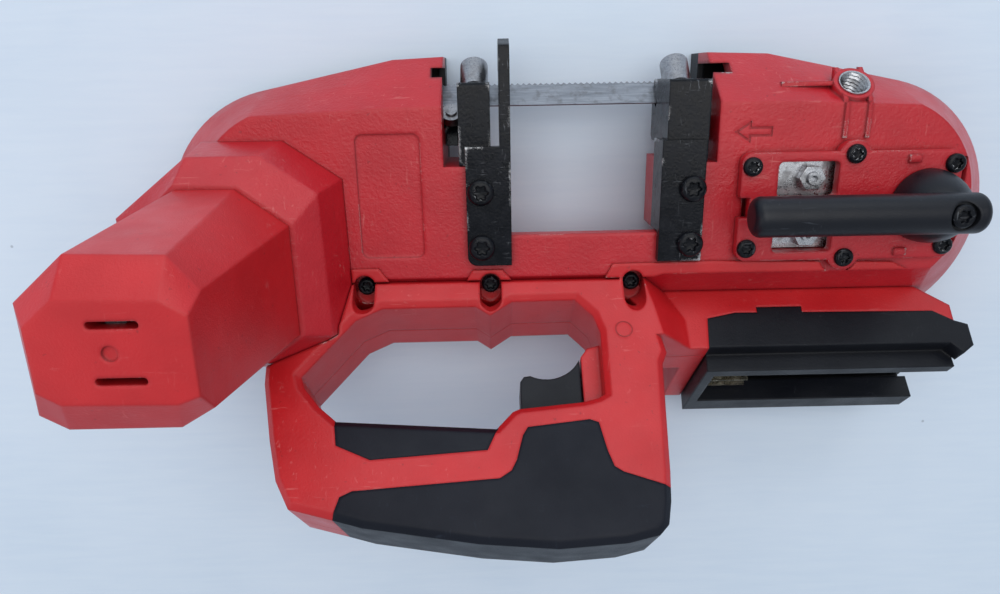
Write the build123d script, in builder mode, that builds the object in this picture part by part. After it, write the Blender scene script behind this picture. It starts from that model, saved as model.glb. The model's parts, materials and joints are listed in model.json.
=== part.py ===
"""Cordless portable band saw, lying on its wheel cover, with no battery fitted.

The two wheels lie in a level plane. The handle and the battery foot stand on a plane tilted 45 degrees about the
long axis, which is also the plane in which the twisted blade cuts. Places are written as (along, across, height):
along from the middle of the throat, across from the line through both wheel axes, height from the back face.
"""
import os
from math import acos, atan2, cos, hypot, pi, radians, sin, sqrt

from build123d import *

os.makedirs("parts", exist_ok=True)

# Place of the throat's middle and of the wheel line in the part's frame
SHIFT_ALONG = 3.098
SHIFT_ACROSS = 34.536

# Wheels and blade
WHEEL_SPACING = 241.5
WHEEL = WHEEL_SPACING / 2
BAND_RADIUS = 40.0
BLADE_WIDTH = 12.7
BLADE_THICKNESS = 0.6
BLADE_HEIGHT = 21.0
BLADE_ACROSS = 44.4
TYRE_GAP = 0.4
TYRE = 1.8
RIM_WIDTH = 12.0

# Housing
HOUSING_BACK = 12.0
FRONT = 50.0
WALL = 4.0
LOBE_EDGE = {-1: 58.5, 1: 54.0}
THROAT_BOTTOM = -11.9
LEDGE_TOP = 17.0
SEAM = -30.0
COVER_WALL = 3.0
COVER_FLOOR = 2.5

# Motor and gears
MOTOR = (-147.0, -20.0)
MOTOR_BORE = 21.5
STEP1_MODULE = 0.8
STEP1_PINION = 8
STEP1_GEAR = 36
STEP2_MODULE = 0.9
STEP2_PINION = 9
STEP2_GEAR = 36
SPINDLE_R = 6.0
FIT = 0.05

# Blade tension
TENSION_ACROSS = -1.5
LEVER_PIVOT = (140.0, TENSION_ACROSS)
CAM_HIGH = 10.0
CAM_TRAVEL = 6.0
COVER_TOP = 55.0
LEVER_HEIGHT = 74.0
LEVER_TIP = 61.4
LEVER_END = 151.5

# Guides: middle along, half length along
GUIDES = {"left": (-45.5, 6.5), "right": (41.5, 8.5)}
ROLLER_R = 6.0
ROLLER_START = -4.0
ROLLER_LENGTH = 14.0
THRUST_PLACES = {"left": -55.5, "right": 51.0}
GUIDE_SCREWS = ((-43.4, 7.0), (-43.4, -16.0), (43.4, 7.0), (43.4, -16.0))

# Handle
HANDLE_THICK = 37.6
HANDLE_SPLIT = 24.0
FOOT_START = 16.0
FOOT_THICK = 74.0
GRIP_DEPTH = 2.0
SHELL_WALL = 5.0
NEAR_EDGE = 2.5
POCKET_FLOOR = 44.0
TRIGGER_TRAVEL = 6.0
CONTACT_DEPTHS = (33.0, 39.0, 45.5, 52.0, 58.0)
RAIL_FLOOR = 22.5
# Channel for the pack's contact tower, then the slots its two rails slide into: depths, near end, low and high side
RAIL_CUTS = ((30, 62, 58, RAIL_FLOOR, 50), (24, 30, 68, RAIL_FLOOR, 25.5), (62, 68, 68, RAIL_FLOOR, 25.5))


def level(height):
    """A level plane whose origin is on the wheel line at the middle of the throat."""
    return Plane((SHIFT_ALONG, SHIFT_ACROSS, height))


def across(along):
    """An upright plane square to the long axis, with across as its x and height as its y."""
    return Plane((SHIFT_ALONG + along, SHIFT_ACROSS, 0), x_dir=(0, 1, 0), z_dir=(1, 0, 0))


def tilted(along, over, height, direction):
    """A plane through a place, square to a direction, with its x along the body."""
    return Plane((SHIFT_ALONG + along, SHIFT_ACROSS + over, height), x_dir=(1, 0, 0), z_dir=direction)


# The handle's near face: x along the body, y away from the body up the slope, depth behind it
GRIP = tilted(0, SEAM, FRONT, (0, -1, -1))
TOOTHWARD = (0, 1, -1)
NEARWARD = (0, 1, 1)


def along_blade(toothward, nearward):
    """Across and height of a place given from the blade's middle, toward the teeth and toward its near face."""
    half = sqrt(0.5)
    return (BLADE_ACROSS + half * (toothward + nearward), BLADE_HEIGHT + half * (nearward - toothward))


def gear_outline(teeth, module, turned=0.0, thin=0.30):
    """Points of a spur gear's edge: involute flanks, thinned at the pitch circle for backlash."""
    pitch = teeth * module / 2
    base = pitch * cos(radians(20))
    tip = pitch + 0.9 * module
    root = pitch - 1.2 * module
    half_pitch = (pi / 2 - thin) / teeth
    spread = sqrt((pitch / base) ** 2 - 1) - acos(base / pitch)
    start = max(root, base)
    points = []
    for tooth in range(teeth):
        middle = turned + 2 * pi * tooth / teeth
        flank = []
        for step in range(5):
            radius = start + (tip - start) * step / 4
            roll = sqrt(max((radius / base) ** 2 - 1, 0)) - acos(min(base / radius, 1))
            flank.append((radius, half_pitch + spread - roll))
        edge = [(root, flank[0][1])] if root < start - 0.01 else []
        edge = edge + flank
        for radius, angle in edge:
            points.append((radius * cos(middle - angle), radius * sin(middle - angle)))
        for radius, angle in reversed(edge):
            points.append((radius * cos(middle + angle), radius * sin(middle + angle)))
    return points


# Height of each level of the wheel housings from the back edge to the front face, then the outline there:
# blade side at the throat, knee, start of the round end, its middle, and its foot on the handle side
LOBE_LEVELS = (
    (25.0, 60.5, (80.0, 59.6), (138.0, 47.6), (182.3, -7.0), (161.0, -52.0)),
    (36.0, 52.3, (80.0, 52.0), (134.5, 43.8), (173.0, -5.0), (154.5, -44.0)),
    (FRONT, 41.0, (80.0, 40.7), (135.5, 38.4), (161.5, -1.0), (149.5, SEAM)),
)


def lobe_outline(side, blade_side, knee, crown, end, heel, inset):
    """Edge of one wheel housing at one height, drawn in by an inset."""
    edge = LOBE_EDGE[side] + inset
    drawn = []
    for along, over in (crown, end, heel):
        share = 1 - inset / hypot(along - WHEEL, over)
        drawn.append((side * (WHEEL + share * (along - WHEEL)), share * over))
    crown_in, end_in, heel_in = drawn
    root = (side * edge, heel[1] + inset)
    top = (side * edge, blade_side - inset)
    Polyline(heel_in, root, top, (side * knee[0], knee[1] - inset), crown_in)
    ThreePointArc(crown_in, end_in, heel_in)


def lobe_form(side, inset):
    """One wheel housing as a solid, drawn in by an inset on every side but the back."""
    base = LOBE_LEVELS[0][0] - inset
    back = HOUSING_BACK - (1 if inset else 0)
    with BuildPart() as form:
        with BuildSketch(level(back)):
            with BuildLine():
                lobe_outline(side, *LOBE_LEVELS[0][1:], inset)
            make_face()
        extrude(amount=base - back)
        for lower, upper in zip(LOBE_LEVELS, LOBE_LEVELS[1:]):
            for height, *edge in (lower, upper):
                with BuildSketch(level(height - inset)):
                    with BuildLine():
                        lobe_outline(side, *edge, inset)
                    make_face()
            loft(ruled=True)
    return form.part


# Corners of the gearbox and of the motor housing at each height, from the far left one round by the throat
GEARBOX_LEVELS = (
    (38.0, ((-180, -6), (-153, 21), (-126, 21), (-107, 8), (-107, -48), (-122, -59), (-163, -59), (-180, -48))),
    (50.0, ((-188.5, -4), (-156, 29), (-123, 29), (-100, 13), (-99, -52), (-119, -66), (-167, -66), (-188.5, -52))),
    (70.0, ((-185, 2), (-155, 25), (-127, 25), (-106, 10), (-105, -48), (-124, -61), (-165, -61), (-185, -48))),
    (78.0, ((-178, -4), (-158, 15.5), (-134, 15), (-114.5, 0), (-114.5, -45), (-130, -56), (-162, -56), (-178, -44))),
)
MOTOR_FOOT = (
    (-176.5, -5), (-157, 14), (-135, 13.8), (-116, -0.5), (-116, -44.5), (-131, -54.8), (-161, -54.8), (-176.5, -43.5)
)
MOTOR_RIM = (
    (-176.5, -7), (-160, 7), (-131, 6.2), (-122.5, -4.5), (-123.2, -41), (-134, -47.4), (-168, -47.4), (-176.2, -42.5)
)
MOTOR_FACE = (
    (-170, -12), (-160.5, -4), (-131, -4.6), (-123.5, -9), (-123.4, -33.5), (-130, -36), (-163.5, -35.5), (-170, -31.5)
)
MOTOR_LEVELS = ((78.0, MOTOR_FOOT), (150.0, MOTOR_RIM), (158.5, MOTOR_FACE))


def stepped_form(levels, low, high, inset=0.0):
    """A form that runs straight from one level's corners to the next, drawn in by an inset."""
    used = [entry for entry in levels if low <= entry[0] <= high]
    with BuildPart() as form:
        for lower, upper in zip(used, used[1:]):
            for height, corners in (lower, upper):
                with BuildSketch(level(height)):
                    with BuildLine():
                        Polyline(*corners, close=True)
                    make_face()
                    if inset:
                        offset(amount=-inset, kind=Kind.INTERSECTION)
            loft(ruled=True)
    return form.part


# ---------------------------------------------------------------- gear train places
step1_spacing = STEP1_MODULE * (STEP1_PINION + STEP1_GEAR) / 2
step2_spacing = STEP2_MODULE * (STEP2_PINION + STEP2_GEAR) / 2
SPINDLE = (-WHEEL, 0.0)
span_long = SPINDLE[0] - MOTOR[0]
span_over = SPINDLE[1] - MOTOR[1]
span = hypot(span_long, span_over)
foot_of_layshaft = (step1_spacing**2 - step2_spacing**2 + span**2) / (2 * span)
layshaft_offset = sqrt(step1_spacing**2 - foot_of_layshaft**2)
LAYSHAFT = (
    MOTOR[0] + (foot_of_layshaft * span_long - layshaft_offset * span_over) / span,
    MOTOR[1] + (foot_of_layshaft * span_over + layshaft_offset * span_long) / span,
)
IDLER = (WHEEL, 0.0)
# A tooth of the layshaft's pinion and of its gear stands on each line of centres, and meets a gap
to_spindle = atan2(SPINDLE[1] - LAYSHAFT[1], SPINDLE[0] - LAYSHAFT[0])
to_motor = atan2(MOTOR[1] - LAYSHAFT[1], MOTOR[0] - LAYSHAFT[0])

# ---------------------------------------------------------------- front housing
insert_place = (109.5, 44.4, 41.4)
insert_plane = tilted(*insert_place, NEARWARD)
corner_screw_places = [(along, TENSION_ACROSS + over) for along in (67.0, 149.5) for over in (17.0, -17.0)]
cover_screw_places = [*corner_screw_places, (108.5, TENSION_ACROSS + 21.5), (108.5, TENSION_ACROSS - 21.5)]
handle_screw_places = [(-94.0, -34.2), (-40.2, -34.2), (20.9, -34.2)]
pocket_places = [(along, -35.2) for along, over in handle_screw_places]
back_screw_sides = ((163.0, 26.0), (74.0, 54.2), (70.0, -47.5))
back_screw_places = [(side * along, over) for along, over in back_screw_sides for side in (-1, 1)]
left_lobe = lobe_form(-1, 0)
right_lobe = lobe_form(1, 0)
left_hollow = lobe_form(-1, WALL)
right_hollow = lobe_form(1, WALL)

with BuildPart() as front_housing:
    add(left_lobe)
    add(right_lobe)
    with BuildSketch(across(-60)):
        with BuildLine():
            Polyline(
                (THROAT_BOTTOM, FRONT),
                (THROAT_BOTTOM, 44),
                (-34, 20),
                (-34, HOUSING_BACK),
                (-52, HOUSING_BACK),
                (-52, 25),
                (-44, 36),
                (SEAM, FRONT),
                close=True,
            )
        make_face()
    extrude(amount=120)
    with BuildSketch(level(HOUSING_BACK)):
        with Locations((-LOBE_EDGE[-1], THROAT_BOTTOM - 2)):
            Rectangle(22.5, LEDGE_TOP - THROAT_BOTTOM + 2, align=(Align.MIN, Align.MIN))
        with Locations((LOBE_EDGE[1], THROAT_BOTTOM - 2)):
            Rectangle(21.2, LEDGE_TOP - THROAT_BOTTOM + 2, align=(Align.MAX, Align.MIN))
    extrude(amount=FRONT - HOUSING_BACK)
    add(left_hollow, mode=Mode.SUBTRACT)
    add(right_hollow, mode=Mode.SUBTRACT)
    # channel for the blade's return run, windows for its way into the throat
    with BuildSketch(level(HOUSING_BACK - 1)):
        with Locations((0, -43.6)):
            Rectangle(129, 10.6)
    extrude(amount=22, mode=Mode.SUBTRACT)
    with BuildSketch(level(HOUSING_BACK - 1)):
        with Locations((-59.5, 43)):
            Rectangle(8, 26)
        with Locations((56.5, 43)):
            Rectangle(11, 26)
    extrude(amount=25, mode=Mode.SUBTRACT)
    # pockets that lighten the ledges
    with BuildSketch(level(HOUSING_BACK - 1)):
        with Locations((-47.25, 3), (43.75, 3)):
            Rectangle(14, 18)
    extrude(amount=16, mode=Mode.SUBTRACT)
    # posts for the back cover's screws
    with BuildSketch(level(HOUSING_BACK)):
        with Locations(*back_screw_places):
            Circle(4.2)
            Circle(1.9, mode=Mode.SUBTRACT)
    extrude(amount=12)
    with BuildSketch(level(HOUSING_BACK)):
        with Locations(*back_screw_places):
            Circle(1.9)
    extrude(amount=4, mode=Mode.SUBTRACT)
    # spindle boss and bearing seat
    with BuildSketch(level(32)):
        with Locations(SPINDLE):
            Circle(18)
    extrude(amount=14.5)
    with BuildSketch(level(41)):
        with Locations(LAYSHAFT):
            Circle(7.5)
    extrude(amount=6)
    with BuildSketch(level(31)):
        with Locations(SPINDLE):
            Circle(14)
    extrude(amount=9, mode=Mode.SUBTRACT)
    with BuildSketch(level(39)):
        with Locations(SPINDLE):
            Circle(10)
    extrude(amount=12, mode=Mode.SUBTRACT)
    with BuildSketch(level(44)):
        with Locations(LAYSHAFT):
            Circle(5)
    extrude(amount=7, mode=Mode.SUBTRACT)
    # bed of the tension slider
    with BuildSketch(level(34)):
        with Locations((64, TENSION_ACROSS)):
            Rectangle(98, 52, align=(Align.MIN, Align.CENTER))
        with BuildLine():
            lobe_outline(1, *LOBE_LEVELS[2][1:], 1.5)
        make_face(mode=Mode.INTERSECT)
    extrude(amount=14)
    with BuildSketch(level(39)):
        with Locations((65.5, TENSION_ACROSS)):
            Rectangle(92.5, 38, align=(Align.MIN, Align.CENTER))
        with Locations(*corner_screw_places):
            Circle(4, mode=Mode.SUBTRACT)
    extrude(amount=12, mode=Mode.SUBTRACT)
    with BuildSketch(level(30)):
        with Locations((IDLER[0] - CAM_TRAVEL / 2, 0)):
            SlotCenterToCenter(CAM_TRAVEL, 15)
    extrude(amount=12, mode=Mode.SUBTRACT)
    # side handle boss with its ribs
    with BuildSketch(insert_plane.offset(-9)):
        Circle(8.2)
    extrude(amount=13)
    with BuildSketch(level(35)):
        with Locations((insert_place[0] - 16, 47.2)):
            Rectangle(26, 1.8)
    extrude(amount=8)
    for along in (-5.0, 5.0):
        with BuildSketch(across(insert_place[0] + along - 0.9)):
            Polygon((38.5, FRONT), (38.5, 36), (53.4, 36), (53.4, 37.4), (41.5, 49.6), align=None)
        extrude(amount=1.8)
    with BuildSketch(level(FRONT - 1)):
        with Locations((insert_place[0] - 4.6, 26), (insert_place[0] + 4.6, 26)):
            Rectangle(1.6, 14, align=(Align.CENTER, Align.MIN))
    extrude(amount=2.3)
    with BuildSketch(insert_plane.offset(9)):
        Circle(6.3)
    extrude(amount=-17.5, mode=Mode.SUBTRACT)
    # screw holes
    with BuildSketch(level(FRONT + 1)):
        with Locations(*cover_screw_places):
            Circle(1.8)
    extrude(amount=-12, mode=Mode.SUBTRACT)
    with BuildSketch(level(FRONT + 1)):
        with Locations(*GUIDE_SCREWS):
            Circle(2.6)
    extrude(amount=-16, mode=Mode.SUBTRACT)
    with BuildSketch(level(FRONT)):
        with Locations(*handle_screw_places):
            Circle(2.1)
    extrude(amount=-17, mode=Mode.SUBTRACT)
    with BuildSketch(level(POCKET_FLOOR)):
        with Locations(*pocket_places):
            SlotOverall(14.4, 9.2, rotation=90)
    extrude(amount=7, mode=Mode.SUBTRACT)
    # label recess and turning-direction mark
    with BuildSketch(level(FRONT)):
        with Locations((-81, 5)):
            RectangleRounded(26.4, 51.6, 3)
    extrude(amount=-0.8, mode=Mode.SUBTRACT)
    with BuildSketch(level(FRONT)):
        with BuildLine():
            Polyline(
                (60.2, 29), (67, 33.5), (67, 31), (75.8, 31), (75.8, 27), (67, 27), (67, 24.5), close=True
            )
        make_face()
        offset(amount=-0.9, kind=Kind.INTERSECTION, mode=Mode.SUBTRACT)
    extrude(amount=-0.6, mode=Mode.SUBTRACT)
front_housing.part.label = "front_housing"
export_step(front_housing.part, "parts/front_housing.step")

# ---------------------------------------------------------------- back cover
with BuildPart() as back_cover:
    for inset, bottom, mode in ((0.0, 0.0, Mode.ADD), (COVER_WALL, COVER_FLOOR, Mode.SUBTRACT)):
        for side in (-1, 1):
            with BuildSketch(level(bottom)):
                with BuildLine():
                    lobe_outline(side, *LOBE_LEVELS[0][1:], inset)
                make_face()
            extrude(amount=HOUSING_BACK - bottom, mode=mode)
        with BuildSketch(level(bottom)):
            with Locations((0, -52 + inset)):
                Rectangle(125, 18 - 2 * inset, align=(Align.CENTER, Align.MIN))
        extrude(amount=HOUSING_BACK - bottom, mode=mode)
    with BuildSketch(level(0)):
        with Locations(*back_screw_places):
            Circle(5)
    extrude(amount=HOUSING_BACK)
    with BuildSketch(level(-1)):
        with Locations(*back_screw_places):
            Circle(2.2)
    extrude(amount=HOUSING_BACK + 2, mode=Mode.SUBTRACT)
    with BuildSketch(level(-1)):
        with Locations(*back_screw_places):
            Circle(4.2)
    extrude(amount=4, mode=Mode.SUBTRACT)
    for side in (-1, 1):
        with BuildSketch(level(-1)):
            with Locations((side * WHEEL, 0)):
                with PolarLocations(26, 8):
                    SlotOverall(14, 4, rotation=90)
        extrude(amount=COVER_FLOOR + 2, mode=Mode.SUBTRACT)
back_cover.part.label = "back_cover"
export_step(back_cover.part, "parts/back_cover.step")

with BuildPart() as back_cover_screws:
    for radius, bottom, top in ((3.9, 0.6, 3.0), (1.9, 3.0, 16.0)):
        with BuildSketch(level(bottom)):
            with Locations(*back_screw_places):
                Circle(radius)
        extrude(amount=top - bottom)
back_cover_screws.part.label = "back_cover_screws"
export_step(back_cover_screws.part, "parts/back_cover_screws.step")

# ---------------------------------------------------------------- gearbox
with BuildPart() as gearbox_base:
    add(stepped_form(GEARBOX_LEVELS, 38, FRONT))
    add(left_lobe, mode=Mode.SUBTRACT)
    with BuildSketch(across(-130.5)):
        with BuildLine():
            Polyline((SEAM, FRONT + 1), (-100, FRONT + 1), (-100, -20), (SEAM, FRONT), close=True)
        make_face()
    extrude(amount=150, mode=Mode.SUBTRACT)
gearbox_base.part.label = "gearbox_base"
export_step(gearbox_base.part, "parts/gearbox_base.step")

with BuildPart() as gearbox_cover:
    add(stepped_form(GEARBOX_LEVELS, FRONT, 78))
    for height, corners in GEARBOX_LEVELS[1:3]:
        with BuildSketch(level(height - (1 if height > FRONT else 0))):
            with BuildLine():
                Polyline(*corners, close=True)
            make_face()
            offset(amount=-5, kind=Kind.INTERSECTION)
    loft(ruled=True, mode=Mode.SUBTRACT)
    # boss for the spindle's upper bearing, notched where the layshaft's gear turns
    with BuildSketch(level(59.5)):
        with Locations(SPINDLE):
            Circle(9.5)
    extrude(amount=10.5)
    with BuildSketch(level(58)):
        with Locations(SPINDLE):
            Circle(6.5)
    extrude(amount=7, mode=Mode.SUBTRACT)
    with BuildSketch(level(65.3)):
        with Locations(LAYSHAFT):
            Circle(15.8)
    extrude(amount=6.5, mode=Mode.SUBTRACT)
    with BuildSketch(level(FRONT - 1)):
        with Locations(SPINDLE):
            Circle(17.5)
    extrude(amount=10.2, mode=Mode.SUBTRACT)
    with BuildSketch(level(64)):
        with Locations(MOTOR):
            Circle(6)
    extrude(amount=9.5, mode=Mode.SUBTRACT)
    with BuildSketch(level(71)):
        with Locations(LAYSHAFT):
            Circle(5)
    extrude(amount=5.5, mode=Mode.SUBTRACT)
    with BuildSketch(level(72)):
        with Locations(MOTOR):
            Circle(11)
    extrude(amount=7, mode=Mode.SUBTRACT)
gearbox_cover.part.label = "gearbox_cover"
export_step(gearbox_cover.part, "parts/gearbox_cover.step")

with BuildPart() as motor_housing:
    add(stepped_form(MOTOR_LEVELS, 78, 160))
    with BuildSketch(level(77)):
        with Locations(MOTOR):
            Circle(MOTOR_BORE)
    extrude(amount=71, mode=Mode.SUBTRACT)
    with BuildSketch(level(147)):
        with Locations(MOTOR):
            Circle(8)
    extrude(amount=6, mode=Mode.SUBTRACT)
    # air slots in the end face and along the sides
    with BuildSketch(level(140)):
        with Locations((MOTOR[0] + 2, MOTOR[1] + 8.5), (MOTOR[0] + 2, MOTOR[1] - 8.5)):
            SlotOverall(15, 2.4)
    extrude(amount=25, mode=Mode.SUBTRACT)
    with BuildSketch(level(159)):
        with Locations(MOTOR):
            Circle(2.4)
    extrude(amount=-1.4, mode=Mode.SUBTRACT)
    for height in (92, 97, 102):
        with BuildSketch(level(height)):
            with Locations((MOTOR[0] - 30, MOTOR[1])):
                Rectangle(16, 22)
            with Locations((MOTOR[0] - 21, MOTOR[1] + 29), (MOTOR[0] - 21, MOTOR[1] - 29)):
                Rectangle(14, 14)
        extrude(amount=2.2, mode=Mode.SUBTRACT)
motor_housing.part.label = "motor_housing"
export_step(motor_housing.part, "parts/motor_housing.step")

with BuildPart() as motor_stator:
    with BuildSketch(level(106)):
        with Locations(MOTOR):
            Circle(MOTOR_BORE)
            Circle(18.2, mode=Mode.SUBTRACT)
            with PolarLocations(17, 6):
                Rectangle(7, 5)
            Circle(14, mode=Mode.SUBTRACT)
    extrude(amount=28)
motor_stator.part.label = "motor_stator"
export_step(motor_stator.part, "parts/motor_stator.step")

with BuildPart() as motor_rotor:
    with BuildSketch(level(104)):
        with Locations(MOTOR):
            Circle(13.2)
            Circle(4, mode=Mode.SUBTRACT)
    extrude(amount=32)
motor_rotor.part.label = "motor_rotor"
export_step(motor_rotor.part, "parts/motor_rotor.step")

with BuildPart() as cooling_fan:
    with BuildSketch(level(86)):
        with Locations(MOTOR):
            Circle(20)
            Circle(4, mode=Mode.SUBTRACT)
    extrude(amount=1.5)
    with BuildSketch(level(86)):
        with Locations(MOTOR):
            Circle(8)
            Circle(4, mode=Mode.SUBTRACT)
            with PolarLocations(13.2, 9):
                Rectangle(12.5, 1.4, rotation=25)
    extrude(amount=10)
cooling_fan.part.label = "cooling_fan"
export_step(cooling_fan.part, "parts/cooling_fan.step")

with BuildPart() as motor_shaft:
    with BuildSketch(level(73)):
        with Locations(MOTOR):
            Circle(4)
    extrude(amount=78)
    with BuildSketch(level(64)):
        with Locations(MOTOR):
            Circle(2.1)
    extrude(amount=9.5)
    with BuildSketch(level(65)):
        with BuildLine(Location(MOTOR)):
            pinion_turn = to_motor + pi + pi / STEP1_PINION
            Polyline(*gear_outline(STEP1_PINION, STEP1_MODULE, pinion_turn), close=True)
        make_face()
    extrude(amount=6)
motor_shaft.part.label = "motor_shaft"
export_step(motor_shaft.part, "parts/motor_shaft.step")

# ---------------------------------------------------------------- bearings: place, bore radius, outer radius, spans
bearing_list = {
    "spindle_bearing_lower": (SPINDLE, SPINDLE_R, 14.0, [(32.0, 40.0)]),
    "spindle_bearing_upper": (SPINDLE, 3.5, 6.5, [(59.5, 64.5)]),
    "motor_bearing_front": (MOTOR, 4.0, 11.0, [(73.5, 79.0)]),
    "motor_bearing_rear": (MOTOR, 4.0, 8.0, [(147.5, 152.0)]),
    "layshaft_bushes": (LAYSHAFT, 2.5, 5.0, [(45.0, 50.0), (72.5, 76.5)]),
}
for name, (place, bore, outer, spans) in bearing_list.items():
    with BuildPart() as bearing:
        for bottom, top in spans:
            with BuildSketch(level(bottom)):
                with Locations(place):
                    Circle(outer)
                    Circle(bore + FIT, mode=Mode.SUBTRACT)
            extrude(amount=top - bottom)
    bearing.part.label = name
    export_step(bearing.part, f"parts/{name}.step")

# ---------------------------------------------------------------- layshaft
with BuildPart() as layshaft:
    with BuildSketch(level(45.5)):
        with Locations(LAYSHAFT):
            Circle(2.5)
    extrude(amount=30.5)
    with BuildSketch(level(51)):
        with BuildLine(Location(LAYSHAFT)):
            Polyline(*gear_outline(STEP2_PINION, STEP2_MODULE, to_spindle), close=True)
        make_face()
    extrude(amount=9)
layshaft.part.label = "layshaft"
export_step(layshaft.part, "parts/layshaft.step")

with BuildPart() as layshaft_gear:
    with BuildSketch(level(66)):
        with BuildLine(Location(LAYSHAFT)):
            Polyline(*gear_outline(STEP1_GEAR, STEP1_MODULE, to_motor), close=True)
        make_face()
        with Locations(LAYSHAFT):
            Circle(2.5, mode=Mode.SUBTRACT)
    extrude(amount=5)
layshaft_gear.part.label = "layshaft_gear"
export_step(layshaft_gear.part, "parts/layshaft_gear.step")

# ---------------------------------------------------------------- drive wheel and spindle
with BuildPart() as output_spindle:
    spindle_steps = ((SPINDLE_R, 13.5, 51.5), (9.0, 40.5, 43.0), (5.0, 51.5, 58.8), (3.5, 58.8, 64.5))
    for radius, bottom, top in spindle_steps:
        with BuildSketch(level(bottom)):
            with Locations(SPINDLE):
                Circle(radius)
        extrude(amount=top - bottom)
output_spindle.part.label = "output_spindle"
export_step(output_spindle.part, "parts/output_spindle.step")

with BuildPart() as output_gear:
    with BuildSketch(level(51.5)):
        with BuildLine(Location(SPINDLE)):
            wheel_turn = to_spindle + pi + pi / STEP2_GEAR
            Polyline(*gear_outline(STEP2_GEAR, STEP2_MODULE, wheel_turn), close=True)
        make_face()
        with Locations(SPINDLE):
            Circle(5, mode=Mode.SUBTRACT)
            with PolarLocations(10.5, 6):
                Circle(2.4, mode=Mode.SUBTRACT)
    extrude(amount=7)
output_gear.part.label = "output_gear"
export_step(output_gear.part, "parts/output_gear.step")

tyre_outer = BAND_RADIUS - TYRE_GAP
rim_outer = tyre_outer - TYRE
wheel_list = {"drive_wheel": (SPINDLE, SPINDLE_R), "idler_wheel": (IDLER, 14.0)}
for name, (place, bore) in wheel_list.items():
    with BuildPart() as wheel:
        for outer, bottom, top in ((rim_outer, 15.0, 27.0), (18.0, 14.0, 30.0)):
            with BuildSketch(level(bottom)):
                with Locations(place):
                    Circle(outer)
            extrude(amount=top - bottom)
        for bottom, amount in ((15.0, 4.0), (27.0, -4.5)):
            with BuildSketch(level(bottom)):
                with Locations(place):
                    Circle(rim_outer - 4)
                    Circle(18, mode=Mode.SUBTRACT)
            extrude(amount=amount, mode=Mode.SUBTRACT)
        with BuildSketch(level(13)):
            with Locations(place):
                Circle(bore)
                with PolarLocations(26, 6):
                    Circle(5)
        extrude(amount=20, mode=Mode.SUBTRACT)
    wheel.part.label = name
    export_step(wheel.part, f"parts/{name}.step")

for name, place in (("drive_tyre", SPINDLE), ("idler_tyre", IDLER)):
    with BuildPart() as tyre:
        with BuildSketch(level(15)):
            with Locations(place):
                Circle(tyre_outer)
                Circle(rim_outer, mode=Mode.SUBTRACT)
        extrude(amount=RIM_WIDTH)
    tyre.part.label = name
    export_step(tyre.part, f"parts/{name}.step")

with BuildPart() as idler_bearing:
    with BuildSketch(level(16)):
        with Locations(IDLER):
            Circle(14)
            Circle(SPINDLE_R + FIT, mode=Mode.SUBTRACT)
    extrude(amount=12)
idler_bearing.part.label = "idler_bearing"
export_step(idler_bearing.part, "parts/idler_bearing.step")

# ---------------------------------------------------------------- blade
band_inner = BAND_RADIUS
band_middle = BAND_RADIUS + BLADE_THICKNESS / 2
blade_bottom = BLADE_HEIGHT - BLADE_WIDTH / 2
twist_places = (
    (WHEEL, band_middle, 0.0),
    (104.0, 40.9, 8.0),
    (88.0, 42.3, 22.0),
    (72.0, 43.6, 37.0),
    (58.0, BLADE_ACROSS, 45.0),
    (-58.0, BLADE_ACROSS, 45.0),
    (-72.0, 43.6, 37.0),
    (-88.0, 42.3, 22.0),
    (-104.0, 40.9, 8.0),
    (-WHEEL, band_middle, 0.0),
)
with BuildPart() as saw_blade:
    with BuildSketch(level(blade_bottom)):
        SlotCenterToCenter(WHEEL_SPACING, 2 * (band_inner + BLADE_THICKNESS))
        SlotCenterToCenter(WHEEL_SPACING, 2 * band_inner, mode=Mode.SUBTRACT)
        with Locations((0, band_middle)):
            Rectangle(WHEEL_SPACING, 4, mode=Mode.SUBTRACT)
    extrude(amount=BLADE_WIDTH)
    for along, over, twist in twist_places:
        turn = radians(twist)
        middle = Plane(
            (SHIFT_ALONG + along, SHIFT_ACROSS + over, BLADE_HEIGHT),
            x_dir=(0, cos(turn), sin(turn)),
            z_dir=(1, 0, 0),
        )
        with BuildSketch(middle):
            Rectangle(BLADE_THICKNESS, BLADE_WIDTH)
    loft(ruled=True)
saw_blade.part.label = "saw_blade"
export_step(saw_blade.part, "parts/saw_blade.step")

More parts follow.
